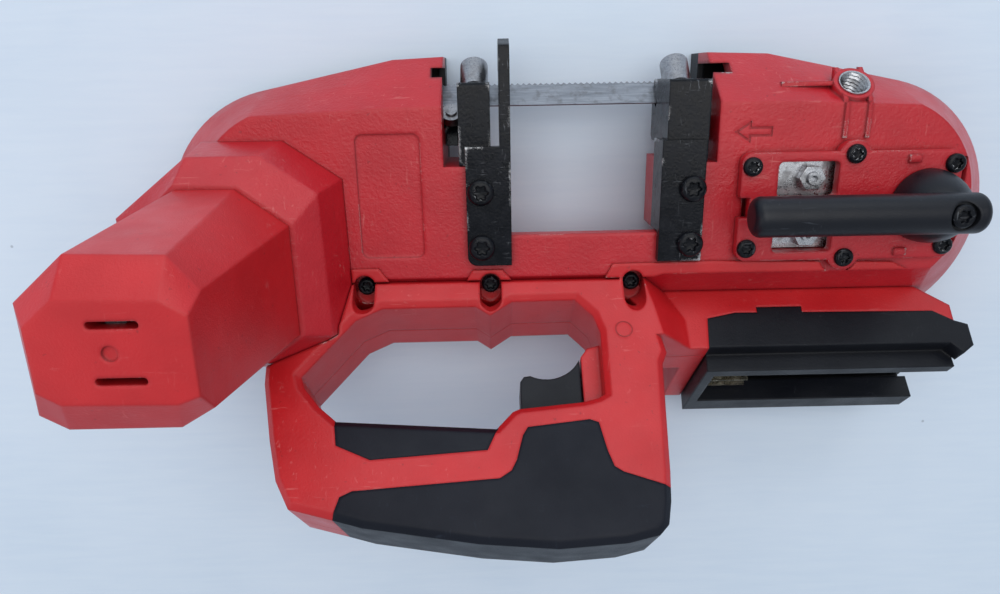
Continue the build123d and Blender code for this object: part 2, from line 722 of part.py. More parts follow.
# ---------------------------------------------------------------- blade guides
roller_nearward = BLADE_THICKNESS / 2 + 0.3 + ROLLER_R
thrust_radius = 4.5
thrust_toothward = -(BLADE_WIDTH / 2 + 0.3 + thrust_radius)
for side, (middle, half) in GUIDES.items():
    thrust_along = THRUST_PLACES[side]
    with BuildPart() as guide_block:
        with BuildSketch(across(middle - half)):
            with BuildLine():
                Polyline(
                    (17.5, FRONT),
                    (49, FRONT),
                    (50, 49),
                    (50, 21),
                    (47, 18),
                    (26, 18),
                    (24, 20),
                    (24, 34),
                    (17.5, 36),
                    close=True,
                )
            make_face()
        extrude(amount=2 * half)
        with BuildSketch(across(thrust_along - 2.5)):
            Polygon((24, 19.5), (34.2, 19.5), (34.2, 25.5), (24, 32), align=None)
        extrude(amount=5)
        with BuildSketch(across(min(thrust_along, middle))):
            Polygon((24, 19.5), (33.5, 19.5), (33.5, 24.5), (24, 32), align=None)
        extrude(amount=abs(thrust_along - middle))
        for nearward in (roller_nearward, -roller_nearward):
            over, height = along_blade(ROLLER_START - 0.5, nearward)
            with BuildSketch(tilted(middle, over, height, TOOTHWARD)):
                Circle(ROLLER_R + 0.8)
            extrude(amount=45, mode=Mode.SUBTRACT)
        over, height = along_blade(-BLADE_WIDTH / 2 - 1.2, 0)
        with BuildSketch(tilted(middle, over, height, TOOTHWARD)):
            Rectangle(60, 3)
        extrude(amount=45, mode=Mode.SUBTRACT)
        over, height = along_blade(thrust_toothward, -2.3)
        with BuildSketch(tilted(thrust_along, over, height, NEARWARD)):
            Circle(thrust_radius + 0.7)
        extrude(amount=22, mode=Mode.SUBTRACT)
        for nearward in (roller_nearward, -roller_nearward):
            over, height = along_blade(ROLLER_START - 9, nearward)
            with BuildSketch(tilted(middle, over, height, TOOTHWARD)):
                Circle(2.5)
            extrude(amount=12, mode=Mode.SUBTRACT)
        over, height = along_blade(thrust_toothward, -8)
        with BuildSketch(tilted(thrust_along, over, height, NEARWARD)):
            Circle(1.5)
        extrude(amount=8, mode=Mode.SUBTRACT)
    guide_block.part.label = f"{side}_guide_block"
    export_step(guide_block.part, f"parts/{side}_guide_block.step")

    with BuildPart() as guide_pins:
        for nearward in (roller_nearward, -roller_nearward):
            over, height = along_blade(ROLLER_START - 9, nearward)
            with BuildSketch(tilted(middle, over, height, TOOTHWARD)):
                Circle(2.5)
            extrude(amount=ROLLER_LENGTH + 9.8)
            over, height = along_blade(ROLLER_START + ROLLER_LENGTH + 0.3, nearward)
            with BuildSketch(tilted(middle, over, height, TOOTHWARD)):
                Circle(3.6)
            extrude(amount=1.2)
        over, height = along_blade(thrust_toothward, -8)
        with BuildSketch(tilted(thrust_along, over, height, NEARWARD)):
            Circle(1.5)
        extrude(amount=10.6)
        over, height = along_blade(thrust_toothward, 2.3)
        with BuildSketch(tilted(thrust_along, over, height, NEARWARD)):
            Circle(2.4)
        extrude(amount=0.8)
    guide_pins.part.label = f"{side}_guide_pins"
    export_step(guide_pins.part, f"parts/{side}_guide_pins.step")

    for name, nearward in (("near", roller_nearward), ("far", -roller_nearward)):
        over, height = along_blade(ROLLER_START, nearward)
        with BuildPart() as roller:
            with BuildSketch(tilted(middle, over, height, TOOTHWARD)):
                Circle(ROLLER_R)
                Circle(2.5 + FIT, mode=Mode.SUBTRACT)
            extrude(amount=ROLLER_LENGTH)
        roller.part.label = f"{side}_{name}_roller"
        export_step(roller.part, f"parts/{side}_{name}_roller.step")

    over, height = along_blade(thrust_toothward, -2)
    with BuildPart() as thrust_bearing:
        with BuildSketch(tilted(thrust_along, over, height, NEARWARD)):
            Circle(thrust_radius)
            Circle(1.5 + FIT, mode=Mode.SUBTRACT)
        extrude(amount=4)
    thrust_bearing.part.label = f"{side}_thrust_bearing"
    export_step(thrust_bearing.part, f"parts/{side}_thrust_bearing.step")

with BuildPart() as work_stop:
    with BuildSketch(level(FRONT)):
        with Locations((-49.4, -24)):
            Rectangle(18.4, 49.3, align=(Align.MIN, Align.MIN))
    extrude(amount=4)
    with BuildSketch(across(-35.4)):
        with BuildLine():
            Polyline(
                (-11.5, 54),
                (58, 54),
                (64, 52),
                (66.5, 46),
                (66.5, 24),
                (62, 19),
                (54.5, 19),
                (54.5, 30),
                (38, 34),
                (16, 34),
                (-11.5, 44),
                close=True,
            )
        make_face()
    extrude(amount=4.4)
    with BuildSketch(level(FRONT - 1)):
        with Locations(*GUIDE_SCREWS[:2]):
            Circle(2.6)
    extrude(amount=6, mode=Mode.SUBTRACT)
    corner = work_stop.edges().filter_by(Axis.Z).group_by(Axis.Y)[0].sort_by(Axis.X)[0]
    fillet(corner, 4)
work_stop.part.label = "work_stop"
export_step(work_stop.part, "parts/work_stop.step")

with BuildPart() as right_guide_bracket:
    with BuildSketch(level(FRONT)):
        with Locations((30.4, -23.5)):
            Rectangle(18.1, 50, align=(Align.MIN, Align.MIN))
    extrude(amount=4)
    with BuildSketch(level(38)):
        with Locations((30.4, -11.5)):
            Rectangle(2.2, 37.8, align=(Align.MIN, Align.MIN))
    extrude(amount=16)
    with BuildSketch(level(FRONT - 1)):
        with Locations(*GUIDE_SCREWS[2:]):
            Circle(2.6)
    extrude(amount=6, mode=Mode.SUBTRACT)
right_guide_bracket.part.label = "right_guide_bracket"
export_step(right_guide_bracket.part, "parts/right_guide_bracket.step")


def screw_set(places, plane_height, shank, length, head, head_height, socket):
    """Round-headed screws, heads up, with a drive recess."""
    with BuildPart() as screws:
        with BuildSketch(level(plane_height)):
            with Locations(*places):
                Circle(shank)
        extrude(amount=-length)
        with BuildSketch(level(plane_height)):
            with Locations(*places):
                Circle(head)
        extrude(amount=head_height)
        with BuildSketch(level(plane_height + head_height)):
            with Locations(*places):
                RegularPolygon(socket, 6)
        extrude(amount=-0.6 * head_height, mode=Mode.SUBTRACT)
    return screws.part


guide_screws = screw_set(GUIDE_SCREWS, FRONT + 4, 2.6, 17, 5.4, 3.2, 2.1)
guide_screws.label = "guide_screws"
export_step(guide_screws, "parts/guide_screws.step")

# ---------------------------------------------------------------- tension unit
with BuildPart() as tension_cover:
    with BuildSketch(level(FRONT)):
        with Locations((108.0, TENSION_ACROSS)):
            RectangleRounded(90, 45, 4)
        with Locations((108.5, TENSION_ACROSS)):
            SlotOverall(54, 13, rotation=90)
        with Locations((90.4, TENSION_ACROSS + 11.4), (90.4, TENSION_ACROSS - 11.8)):
            RectangleRounded(25, 14.5, 2, mode=Mode.SUBTRACT)
        with Locations((64.8, TENSION_ACROSS)):
            Rectangle(4.5, 8.5, mode=Mode.SUBTRACT)
        with Locations(LEVER_PIVOT):
            Circle(4 + FIT, mode=Mode.SUBTRACT)
        with Locations(*cover_screw_places):
            Circle(1.8, mode=Mode.SUBTRACT)
        with BuildLine():
            lobe_outline(1, *LOBE_LEVELS[2][1:], 0.6)
        make_face(mode=Mode.INTERSECT)
    extrude(amount=COVER_TOP - FRONT)
    with BuildSketch(level(COVER_TOP)):
        with Locations((132.5, 17.8), (131.5, -20.8)):
            Rectangle(5, 3)
    extrude(amount=1.6)
tension_cover.part.label = "tension_cover"
export_step(tension_cover.part, "parts/tension_cover.step")

tension_cover_screws = screw_set(cover_screw_places, COVER_TOP, 1.8, 14, 3.9, 2.0, 1.6)
tension_cover_screws.label = "tension_cover_screws"
export_step(tension_cover_screws, "parts/tension_cover_screws.step")

nut_places = [(93.5, TENSION_ACROSS + 11.4), (93.5, TENSION_ACROSS - 12.2)]
cam_window = (LEVER_PIVOT[0] - 12.0, LEVER_PIVOT[0] + CAM_HIGH + 0.8)
with BuildPart() as tension_slider:
    with BuildSketch(level(39.4)):
        with Locations((72, TENSION_ACROSS)):
            Rectangle(85.4, 37.2, align=(Align.MIN, Align.CENTER))
        with Locations((cam_window[0], TENSION_ACROSS)):
            window_long = cam_window[1] - cam_window[0]
            Rectangle(window_long, 22, align=(Align.MIN, Align.CENTER), mode=Mode.SUBTRACT)
        with Locations(IDLER):
            Circle(5, mode=Mode.SUBTRACT)
        with Locations(*nut_places):
            Circle(2.5, mode=Mode.SUBTRACT)
        with Locations((70, TENSION_ACROSS + 17), (70, TENSION_ACROSS - 17)):
            Rectangle(15.2, 9, mode=Mode.SUBTRACT)
        with Locations((152.5, TENSION_ACROSS + 17), (152.5, TENSION_ACROSS - 17)):
            Rectangle(15.2, 8.6, mode=Mode.SUBTRACT)
    extrude(amount=8)
tension_slider.part.label = "tension_slider"
export_step(tension_slider.part, "parts/tension_slider.step")

with BuildPart() as idler_axle:
    axle_steps = ((SPINDLE_R, 14.0, 39.4), (7.0, 29.5, 33.0), (5.0, 39.4, 47.4), (8.0, 47.4, 49.4))
    for radius, bottom, top in axle_steps:
        with BuildSketch(level(bottom)):
            with Locations(IDLER):
                Circle(radius)
        extrude(amount=top - bottom)
idler_axle.part.label = "idler_axle"
export_step(idler_axle.part, "parts/idler_axle.step")

with BuildPart() as tracking_screws:
    with BuildSketch(level(39.6)):
        with Locations(*nut_places):
            Circle(2.5)
    extrude(amount=14)
    with BuildSketch(level(53.6)):
        with Locations(*nut_places):
            RegularPolygon(1.5, 6)
    extrude(amount=-3, mode=Mode.SUBTRACT)
tracking_screws.part.label = "tracking_screws"
export_step(tracking_screws.part, "parts/tracking_screws.step")

with BuildPart() as tracking_nuts:
    with BuildSketch(level(47.4)):
        with Locations(*nut_places):
            RegularPolygon(5.6, 6)
            Circle(2.5, mode=Mode.SUBTRACT)
    extrude(amount=4.4)
tracking_nuts.part.label = "tracking_nuts"
export_step(tracking_nuts.part, "parts/tracking_nuts.step")

cam_points = []
for step in range(48):
    turn = 2 * pi * step / 48
    fall = turn / pi if turn <= pi else 2 - turn / pi
    reach = CAM_HIGH - CAM_TRAVEL * fall
    cam_points.append((LEVER_PIVOT[0] + reach * cos(turn), LEVER_PIVOT[1] + reach * sin(turn)))
with BuildPart() as tension_cam:
    with BuildSketch(level(40.5)):
        with BuildLine():
            Polyline(*cam_points, close=True)
        make_face()
        with Locations(LEVER_PIVOT):
            Circle(3, mode=Mode.SUBTRACT)
    extrude(amount=6)
tension_cam.part.label = "tension_cam"
export_step(tension_cam.part, "parts/tension_cam.step")

with BuildPart() as tension_shaft:
    for radius, bottom, top in ((3.0, 40.2, 46.5), (4.0, 46.5, 47.8), (6.5, 47.8, 49.4), (4.0, 49.4, 64.0)):
        with BuildSketch(level(bottom)):
            with Locations(LEVER_PIVOT):
                Circle(radius)
        extrude(amount=top - bottom)
tension_shaft.part.label = "tension_shaft"
export_step(tension_shaft.part, "parts/tension_shaft.step")

with BuildPart() as tension_lever:
    with BuildSketch(across(LEVER_TIP)):
        with Locations((TENSION_ACROSS, LEVER_HEIGHT)):
            Circle(8)
    extrude(amount=LEVER_END - LEVER_TIP)
    ends = tension_lever.edges().filter_by(GeomType.CIRCLE)
    fillet(ends, 3.5)
    # domed hub
    hub_foot = (TENSION_ACROSS + 15.2, COVER_TOP + 0.6)
    hub_head = (TENSION_ACROSS + 6, 75.5)
    with BuildSketch(across(LEVER_PIVOT[0])):
        with BuildLine():
            Polyline(hub_head, (TENSION_ACROSS, 75.5), (TENSION_ACROSS, COVER_TOP + 0.6), hub_foot)
            ThreePointArc(hub_foot, (TENSION_ACROSS + 12.8, 66.5), hub_head)
        make_face()
    revolve(axis=Axis((SHIFT_ALONG + LEVER_PIVOT[0], SHIFT_ACROSS + LEVER_PIVOT[1], 0), (0, 0, 1)))
    with BuildSketch(level(COVER_TOP)):
        with Locations(LEVER_PIVOT):
            Circle(4)
    extrude(amount=9, mode=Mode.SUBTRACT)
    with BuildSketch(level(60)):
        with Locations(LEVER_PIVOT):
            Circle(2.6)
    extrude(amount=20, mode=Mode.SUBTRACT)
    with BuildSketch(level(79)):
        with Locations(LEVER_PIVOT):
            Circle(5.6)
    extrude(amount=6, mode=Mode.SUBTRACT)
tension_lever.part.label = "tension_lever"
export_step(tension_lever.part, "parts/tension_lever.step")

lever_bolt = screw_set([LEVER_PIVOT], 79, 2.6, 14.8, 4.6, 2.6, 1.9)
lever_bolt.label = "lever_bolt"
export_step(lever_bolt, "parts/lever_bolt.step")

with BuildPart() as side_handle_insert:
    with BuildSketch(insert_plane.offset(-8.5)):
        Circle(6.3)
        Circle(5.1, mode=Mode.SUBTRACT)
    extrude(amount=13)
side_handle_insert.part.label = "side_handle_insert"
export_step(side_handle_insert.part, "parts/side_handle_insert.step")

# ---------------------------------------------------------------- handle
HANDLE_EDGE = [
    (-101, 0.2), (-132, 38.6), (-131.6, 46), (-126.6, 69.7), (-122.5, 85), (-116.7, 95.5), (-100, 99.8),
    (-89, 102.8), (-45.7, 109.4), (-17.2, 111.7), (8, 110.2), (20, 107.6), (23.6, 104), (25.4, 95.8),
    (26.5, 84.7), (29.1, 41), (31.4, 36), (25, 0.2),
]
LOOP_EDGE = [
    (-117.2, 43.3), (-97, 18.4), (-86, 13), (-46.9, 12.9), (-40.7, 17.3), (-31.3, 10.9), (-4.7, 10.6),
    (2.6, 18.5), (5, 26.2), (4.6, 53.3), (1.7, 54.9), (-4.4, 56.4), (-29.6, 58.7), (-32.4, 59.9),
    (-38.8, 66.6), (-101.6, 62.3), (-108.8, 56.1), (-115.6, 48),
]
UPPER_REGION = [(-102, 48), (-102, 62.3), (-100.5, 72.5), (-87, 78.4), (-42.4, 75.5), (-38.2, 66.5), (-38.2, 48)]
LOWER_REGION = [
    (-104, 130), (-99.9, 99.8), (-97.5, 92), (-93, 89.9), (-38, 86.3), (-33.5, 83.4), (-31.5, 79.6),
    (-28.8, 70), (-26.8, 66.8), (-2.6, 64.2), (0.8, 65.5), (3.2, 76.6), (5.3, 82.7), (8.5, 84.8),
    (25.7, 90.7), (40, 96), (40, 130),
]
# Battery foot and rail seen square to the near face
FOOT_EDGE = [
    (37, 0.2), (150, 0.2), (163.5, 10), (163, 17.5), (155, 12.6), (67.6, 11.6), (55, 14.2), (53.5, 28.5),
    (45.2, 28.5), (45, 14.7),
]
RAIL_NEAR_EDGE = [
    (55, 14.2), (67.6, 11.6), (155, 12.6), (163, 17.5), (168.6, 19.5), (168, 29.5), (163, 33), (158.5, 28),
    (53.6, 28),
]
RAIL_EDGE = [(55, 14.2), (67.6, 11.6), (155, 12.6), (162, 17), (162, 36), (53.6, 36)]


def handle_form(inset):
    """The handle, neck and battery foot as one solid, drawn in by an inset."""
    with BuildPart() as form:
        with BuildSketch(GRIP.offset(inset)):
            with BuildLine():
                Polyline(*HANDLE_EDGE, close=True)
            make_face()
            if inset:
                offset(amount=-inset, kind=Kind.INTERSECTION)
        extrude(amount=HANDLE_THICK - 2 * inset)
        with BuildSketch(GRIP.offset(-1)):
            with BuildLine():
                Polyline(*LOOP_EDGE, close=True)
            make_face()
            if inset:
                offset(amount=inset, kind=Kind.INTERSECTION)
        extrude(amount=HANDLE_THICK + 2, mode=Mode.SUBTRACT)
        if not inset:
            near = [edge for edge in form.edges() if abs(GRIP.to_local_coords(edge.center()).Z) < 0.01]
            chamfer(near, NEAR_EDGE)
    return form.part


def region_form(points):
    """A region of the near face, run through the whole handle."""
    with BuildPart() as form:
        with BuildSketch(GRIP.offset(-1)):
            with BuildLine():
                Polyline(*points, close=True)
            make_face()
        extrude(amount=HANDLE_THICK + 2)
    return form.part


handle_full = handle_form(0)
handle_core = handle_form(GRIP_DEPTH)
handle_hollow = handle_form(SHELL_WALL)
upper_region = region_form(UPPER_REGION)
lower_region = region_form(LOWER_REGION)
gearbox_room = stepped_form(GEARBOX_LEVELS, FRONT, 78, -0.4)
with BuildPart() as trigger_room:
    with BuildSketch(GRIP.offset(9.2)):
        with Locations((-29.6, 50)):
            Rectangle(26.4, 27, align=(Align.MIN, Align.MIN))
    extrude(amount=19.6)

with BuildPart() as upper_grip:
    add(handle_full)
    add(upper_region, mode=Mode.INTERSECT)
    add(handle_core, mode=Mode.SUBTRACT)
upper_grip.part.label = "upper_grip"
export_step(upper_grip.part, "parts/upper_grip.step")

with BuildPart() as lower_grip:
    add(handle_full)
    add(lower_region, mode=Mode.INTERSECT)
    add(handle_core, mode=Mode.SUBTRACT)
    add(trigger_room.part, mode=Mode.SUBTRACT)
lower_grip.part.label = "lower_grip"
export_step(lower_grip.part, "parts/lower_grip.step")

# the neck widens down to the foot, and the finger's room has a raised step beside the trigger
with BuildPart() as neck_flank:
    with BuildSketch(GRIP):
        with BuildLine():
            Polyline((15, 0.2), (24.5, 0.2), (28.4, 15), (30.8, 28.5), (15, 28.5), close=True)
        make_face()
    with BuildSketch(GRIP.offset(FOOT_START)):
        with BuildLine():
            Polyline((15, 0.2), (37, 0.2), (45, 14.7), (45.2, 28.5), (15, 28.5), close=True)
        make_face()
    loft(ruled=True)
    with BuildSketch(GRIP.offset(FOOT_START)):
        with BuildLine():
            Polyline((15, 0.2), (37, 0.2), (45, 14.7), (45.2, 28.5), (15, 28.5), close=True)
        make_face()
    extrude(amount=HANDLE_THICK - FOOT_START)
with BuildPart() as finger_step:
    with BuildSketch(GRIP.offset(10)):
        with BuildLine():
            Polyline((-3, 60), (-3, 34), (0, 30), (8, 28), (8, 60), close=True)
        make_face()
    extrude(amount=18)
with BuildPart() as battery_foot:
    with BuildSketch(GRIP.offset(FOOT_START)):
        with BuildLine():
            Polyline(*FOOT_EDGE, close=True)
        make_face()
    extrude(amount=FOOT_THICK - FOOT_START)
    with BuildSketch(GRIP.offset(FOOT_START)):
        with Locations((87.4, 10.6)):
            Rectangle(20, 3.2)
    extrude(amount=5, mode=Mode.SUBTRACT)
    with BuildSketch(level(-20)):
        with Locations((100, -60)):
            Rectangle(200, 120)
    extrude(amount=20.3, mode=Mode.SUBTRACT)
# flat lugs that carry the near shell over the housing's edge, and the strip beyond them
LUG_EDGES = (
    ((-103.5, -31), (-100, -25.2), (-87.6, -25.2), (-83.5, -31)),
    ((-50.2, -31), (-47.8, -26.6), (-35, -26.6), (-31.4, -31)),
    ((9, -31), (12, -25), (56, -24.6), (132, -26.4), (139, -29.9), (34, -29.9), (30, -31)),
)
with BuildPart() as edge_lugs:
    with BuildSketch(level(FRONT)):
        for corners in LUG_EDGES:
            with BuildLine():
                Polyline(*corners, close=True)
            make_face()
        with Locations((108.5, TENSION_ACROSS - 21.5)):
            Circle(8.2, mode=Mode.SUBTRACT)
    extrude(amount=1.3, dir=(0, 0, 1))

shell_spans = {"handle_shell_near": (0.0, HANDLE_SPLIT), "handle_shell_far": (HANDLE_SPLIT, FOOT_THICK)}
for name, (start, end) in shell_spans.items():
    with BuildPart() as shell:
        add(handle_full)
        add(neck_flank.part)
        add(finger_step.part)
        add(handle_hollow, mode=Mode.SUBTRACT)
        add(battery_foot.part)
        add(upper_grip.part, mode=Mode.SUBTRACT)
        add(lower_grip.part, mode=Mode.SUBTRACT)
        add(trigger_room.part, mode=Mode.SUBTRACT)
        # moulded ring mark
        with BuildSketch(GRIP.offset(-1)):
            with Locations((14.5, 26)):
                Circle(3.7)
                Circle(3.1, mode=Mode.SUBTRACT)
        extrude(amount=1.4, mode=Mode.SUBTRACT)
        # only this shell's share of the depth
        with BuildSketch(GRIP.offset(start)):
            Rectangle(500, 400)
        extrude(amount=end - start, mode=Mode.INTERSECT)
        if start < 1:
            add(edge_lugs.part)
        add(gearbox_room, mode=Mode.SUBTRACT)
        # pockets of the upright screws
        with BuildSketch(level(POCKET_FLOOR)):
            with Locations(*pocket_places):
                SlotOverall(14.4, 9.2, rotation=90)
        extrude(amount=40, mode=Mode.SUBTRACT)
        with BuildSketch(level(20)):
            with Locations(*handle_screw_places):
                Circle(2.1)
        extrude(amount=40, mode=Mode.SUBTRACT)
    shell.part.label = name
    export_step(shell.part, f"parts/{name}.step")

handle_screws = screw_set(handle_screw_places, POCKET_FLOOR, 2.1, 10.5, 3.9, 3.4, 1.7)
handle_screws.label = "handle_screws"
export_step(handle_screws, "parts/handle_screws.step")

with BuildPart() as switch_module:
    with BuildSketch(GRIP.offset(9)):
        with Locations((-16, 84)):
            Rectangle(34, 14, align=(Align.CENTER, Align.MIN))
    extrude(amount=20)
switch_module.part.label = "switch_module"
export_step(switch_module.part, "parts/switch_module.step")

with BuildPart() as control_board:
    with BuildSketch(GRIP.offset(10)):
        with Locations((-64, 92)):
            Rectangle(44, 2, align=(Align.CENTER, Align.MIN))
    extrude(amount=17)
    with BuildSketch(GRIP.offset(12)):
        with Locations((-76, 88), (-62, 88), (-50, 89)):
            Rectangle(8, 4, align=(Align.CENTER, Align.MIN))
    extrude(amount=9)
control_board.part.label = "control_board"
export_step(control_board.part, "parts/control_board.step")

with BuildPart() as trigger:
    with BuildSketch(GRIP.offset(10)):
        with BuildLine():
            Polyline((-3.8, 35), (-3.8, 70), (-28.8, 70), (-28.8, 44.5), (-27.2, 42.2), (-24.5, 41.8))
            ThreePointArc((-24.5, 41.8), (-12, 42.4), (-3.8, 35))
        make_face()
    extrude(amount=18)
    with BuildSketch(GRIP.offset(14)):
        with Locations((-13.5, 72)):
            Rectangle(8, 4, align=(Align.CENTER, Align.MAX))
    extrude(amount=10)
trigger.part.label = "trigger"
export_step(trigger.part, "parts/trigger.step")

with BuildPart() as trigger_spring:
    spring_foot = GRIP.offset(19).from_local_coords((-13.5, 72.4, 0))
    with BuildSketch(Plane(spring_foot, x_dir=(1, 0, 0), z_dir=(0, -1, 1))):
        Circle(3.2)
        Circle(2.2, mode=Mode.SUBTRACT)
    extrude(amount=5)
trigger_spring.part.label = "trigger_spring"
export_step(trigger_spring.part, "parts/trigger_spring.step")

# ---------------------------------------------------------------- battery rail
with BuildPart() as battery_rail:
    for edge, start, end in ((RAIL_NEAR_EDGE, FOOT_START, 24.0), (RAIL_EDGE, 24.0, FOOT_THICK)):
        with BuildSketch(GRIP.offset(start)):
            with BuildLine():
                Polyline(*edge, close=True)
            make_face()
        extrude(amount=end - start)
    with BuildSketch(GRIP.offset(FOOT_START)):
        with Locations((87.4, 10.6)):
            Rectangle(19.6, 2.8)
    extrude(amount=4.6)
    # the underside falls away toward the far side
    fall = Plane(GRIP.from_local_coords((0, 0, 0)), x_dir=(0, -1, 1), z_dir=(-1, 0, 0))
    with BuildSketch(fall.offset(-152)):
        with BuildLine():
            Polyline((28, 24), (36, FOOT_THICK), (60, FOOT_THICK), (60, 24), close=True)
        make_face()
    extrude(amount=110, mode=Mode.SUBTRACT)
    for start, end, near_end, low, high in RAIL_CUTS:
        with BuildSketch(GRIP.offset(start)):
            with Locations((near_end, low)):
                Rectangle(110, high - low, align=(Align.MIN, Align.MIN))
        extrude(amount=end - start, mode=Mode.SUBTRACT)
    # the contact blades' block
    with BuildSketch(GRIP.offset(32)):
        with Locations((58, RAIL_FLOOR)):
            Rectangle(9, 4, align=(Align.MIN, Align.MIN))
    extrude(amount=28)
    for depth in CONTACT_DEPTHS:
        with BuildSketch(GRIP.offset(depth)):
            with Locations((60, RAIL_FLOOR - 1.5)):
                Rectangle(21, 8.5, align=(Align.MIN, Align.MIN))
        extrude(amount=0.9, mode=Mode.SUBTRACT)
battery_rail.part.label = "battery_rail"
export_step(battery_rail.part, "parts/battery_rail.step")

with BuildPart() as battery_contacts:
    for depth in CONTACT_DEPTHS:
        with BuildSketch(GRIP.offset(depth)):
            with Locations((60, RAIL_FLOOR - 1.5)):
                Rectangle(21, 8.5, align=(Align.MIN, Align.MIN))
        extrude(amount=0.9)
battery_contacts.part.label = "battery_contacts"
export_step(battery_contacts.part, "parts/battery_contacts.step")
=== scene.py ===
"""Looks of a cordless portable band saw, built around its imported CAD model.

The throat's middle and the wheel line come from the wheels' joints in the frame. Camera, screws, insert
and blade are placed in millimetres from them.
"""
import json
from math import cos, pi, radians, sin, sqrt

import bmesh
import bpy
from mathutils import Matrix, Vector


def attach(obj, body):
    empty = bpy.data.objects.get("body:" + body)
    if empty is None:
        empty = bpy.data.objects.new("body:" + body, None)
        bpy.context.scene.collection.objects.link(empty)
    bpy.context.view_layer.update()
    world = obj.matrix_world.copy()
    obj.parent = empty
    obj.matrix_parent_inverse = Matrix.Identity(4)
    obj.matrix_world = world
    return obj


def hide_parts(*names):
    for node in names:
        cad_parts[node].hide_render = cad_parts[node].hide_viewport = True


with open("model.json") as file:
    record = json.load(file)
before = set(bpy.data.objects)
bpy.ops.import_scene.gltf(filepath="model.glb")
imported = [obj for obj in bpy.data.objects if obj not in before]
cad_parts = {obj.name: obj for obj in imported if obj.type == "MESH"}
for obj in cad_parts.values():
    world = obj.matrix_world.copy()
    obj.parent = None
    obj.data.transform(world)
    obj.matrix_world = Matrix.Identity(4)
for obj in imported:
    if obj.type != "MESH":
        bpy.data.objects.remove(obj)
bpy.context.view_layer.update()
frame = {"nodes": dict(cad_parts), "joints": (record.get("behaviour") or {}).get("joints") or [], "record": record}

scene = bpy.context.scene
MM = 0.001
TAU = 2 * pi
HALF = sqrt(0.5)

joint_place = {joint["name"]: Vector(joint["pos_m"]) for joint in frame["joints"] if "pos_m" in joint}
spindle_place = joint_place["drive_wheel_spin"]
idler_place = joint_place["idler_wheel_spin"]
throat = (spindle_place + idler_place) / 2


def at(along, across, height):
    """A place given in millimetres from the throat's middle, the wheel line and the back face."""
    return Vector((throat.x + along * MM, throat.y + across * MM, height * MM))


# ---------------------------------------------------------------- camera
SENSOR_WIDTH = 36
FOCAL_SHARE = 0.722
CAMERA_PLACE = at(-38.93, 53.26, 348.6)
CAMERA_PITCH = 0.3001
CAMERA_YAW = 0.0289
CAMERA_ROLL = -0.048


def add_camera():
    """The camera above the saw, leaning a little toward the handle."""
    data = bpy.data.cameras.new("camera")
    data.sensor_width = SENSOR_WIDTH
    data.lens = FOCAL_SHARE * data.sensor_width
    camera = bpy.data.objects.new("camera", data)
    scene.collection.objects.link(camera)
    level = sin(CAMERA_PITCH)
    look = Vector((sin(CAMERA_YAW) * level, -cos(CAMERA_YAW) * level, -cos(CAMERA_PITCH)))
    level_right = Vector((cos(CAMERA_YAW), sin(CAMERA_YAW), 0))
    level_up = level_right.cross(look)
    right = level_right * cos(CAMERA_ROLL) + level_up * sin(CAMERA_ROLL)
    up = right.cross(look)
    turn = Matrix((right, up, -look)).transposed()
    camera.matrix_world = Matrix.Translation(CAMERA_PLACE) @ turn.to_4x4()
    scene.camera = camera


add_camera()


# ---------------------------------------------------------------- light and floor
def add_light(name, place, target, size, power, colour):
    """A soft rectangular light that faces a target."""
    data = bpy.data.lights.new(name, "AREA")
    data.shape = "RECTANGLE"
    data.size, data.size_y = size
    data.energy = power
    data.color = colour
    light = bpy.data.objects.new(name, data)
    scene.collection.objects.link(light)
    light.location = place
    light.rotation_euler = (Vector(target) - Vector(place)).to_track_quat("-Z", "Y").to_euler()


scene.view_settings.view_transform = "Standard"
scene.view_settings.look = "None"
world = bpy.data.worlds.new("daylight")
scene.world = world
world.use_nodes = True
sky = world.node_tree.nodes["Background"]
sky.inputs["Color"].default_value = (0.80, 0.89, 1.0, 1)
sky.inputs["Strength"].default_value = 0.50
add_light("overhead", (0.1, 0.5, 1.5), (0, 0, 0.05), (1.6, 1.2), 10.5, (1.0, 0.98, 0.95))
add_light("far_side", (0.0, 1.5, 0.7), (0, 0, 0.08), (2.2, 0.9), 8.5, (0.93, 0.97, 1.0))
add_light("left_side", (-1.3, -0.2, 0.9), (0, 0, 0.08), (0.9, 0.9), 2.2, (0.95, 0.98, 1.0))


# ---------------------------------------------------------------- material graphs
EDGE_SAMPLES = 6


